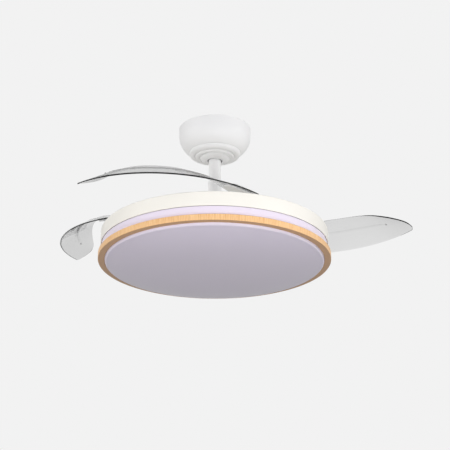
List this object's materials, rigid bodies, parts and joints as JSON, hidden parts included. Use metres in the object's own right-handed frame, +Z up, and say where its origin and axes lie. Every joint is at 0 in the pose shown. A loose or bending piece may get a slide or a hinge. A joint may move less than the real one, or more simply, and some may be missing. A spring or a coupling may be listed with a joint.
{
  "type": "retractable blade ceiling fan",
  "caption": "White ceiling fan on a short downrod with clear folding sickle blades above a round flat lamp that has a light wood ring and a domed diffuser.",
  "frame": {"origin": "centre of the ceiling bracket's upper face, on the ceiling plane and on the fan's axis", "axes": "+Z up into the ceiling along the fan's axis; +X to the right and +Y away in the picture"},
  "size_m": [0.8001, 0.5759, 0.334],
  "materials": {
    "white_paint": "satin warm white powder coat",
    "white_plastic": "fine matt moulding",
    "grey_plastic": "matt moulded nylon",
    "nylon": "matt natural nylon",
    "clear_acrylic": "polished clear acrylic with a faint grey tint",
    "opal_acrylic": "opal acrylic, unlit, faintly lilac",
    "light_wood": "light oak with fine upright grain and satin varnish",
    "steel": "machined steel",
    "zinc_steel": "zinc plated sheet",
    "core_steel": "stacked electrical steel",
    "copper": "enamelled copper wire",
    "aluminium": "satin cast aluminium",
    "magnet": "sintered ferrite",
    "board": "white coated circuit board"
  },
  "bodies": {
    "ceiling": {"ceiling_bracket": "zinc_steel", "canopy_shell": "white_paint", "canopy_trim_ring": "white_paint", "ball_cover": "white_paint", "receiver": "white_plastic", "terminal_block": "nylon", "canopy_screw_1": "steel", "canopy_screw_2": "steel"},
    "hanging": {"hanger_ball": "grey_plastic", "ball_pin": "steel", "downrod": "white_paint", "yoke_collar": "white_paint", "yoke_pin": "steel", "shaft_top_nut": "steel", "motor_shaft": "steel", "stator_core": "core_steel", "stator_winding": "copper", "upper_bearing": "steel", "lower_bearing": "steel", "lamp_plate": "zinc_steel", "lamp_nut": "steel", "lamp_tray": "white_paint", "base_plate": "zinc_steel", "led_driver": "white_plastic", "motor_controller": "white_plastic", "led_board": "board", "light_band": "opal_acrylic", "wood_ring": "light_wood", "diffuser": "opal_acrylic"},
    "rotor": {"motor_upper_cover": "white_paint", "motor_lower_cover": "aluminium", "magnet_ring": "magnet", "blade_carrier": "aluminium", "pivot_pin_1": "steel", "pivot_washer_1": "nylon", "pivot_pin_2": "steel", "pivot_washer_2": "nylon", "pivot_pin_3": "steel", "pivot_washer_3": "nylon"},
    "blade_assembly_1": {"blade_1": "clear_acrylic", "blade_arm_1": "white_paint", "blade_clamp_1": "white_plastic", "pivot_bush_1": "nylon", "blade_screw_1a": "white_plastic", "blade_screw_1b": "white_plastic"},
    "blade_assembly_2": {"blade_2": "clear_acrylic", "blade_arm_2": "white_paint", "blade_clamp_2": "white_plastic", "pivot_bush_2": "nylon", "blade_screw_2a": "white_plastic", "blade_screw_2b": "white_plastic"},
    "blade_assembly_3": {"blade_3": "clear_acrylic", "blade_arm_3": "white_paint", "blade_clamp_3": "white_plastic", "pivot_bush_3": "nylon", "blade_screw_3a": "white_plastic", "blade_screw_3b": "white_plastic"}
  },
  "joints": [
    {"name": "hanger_swing", "type": "hinge", "parent": "ceiling", "child": "hanging", "pos_m": [0, 0, -0.04], "axis": [1, 0, 0], "range_deg": [-5, 5]},
    {"name": "rotor_spin", "type": "hinge", "parent": "hanging", "child": "rotor", "pos_m": [0, 0, -0.219], "axis": [0, 0, 1], "continuous": true},
    {"name": "blade_fold_1", "type": "hinge", "parent": "rotor", "child": "blade_assembly_1", "pos_m": [0.10585, -0.12263, -0.225], "axis": [0, 0, 1], "range_deg": [-27.5, 52.5]},
    {"name": "blade_fold_2", "type": "hinge", "parent": "rotor", "child": "blade_assembly_2", "pos_m": [0.05328, 0.15299, -0.225], "axis": [0, 0, 1], "range_deg": [-80, 0]},
    {"name": "blade_fold_3", "type": "hinge", "parent": "rotor", "child": "blade_assembly_3", "pos_m": [-0.15913, -0.03036, -0.225], "axis": [0, 0, 1], "range_deg": [-80, 0]}
  ]
}
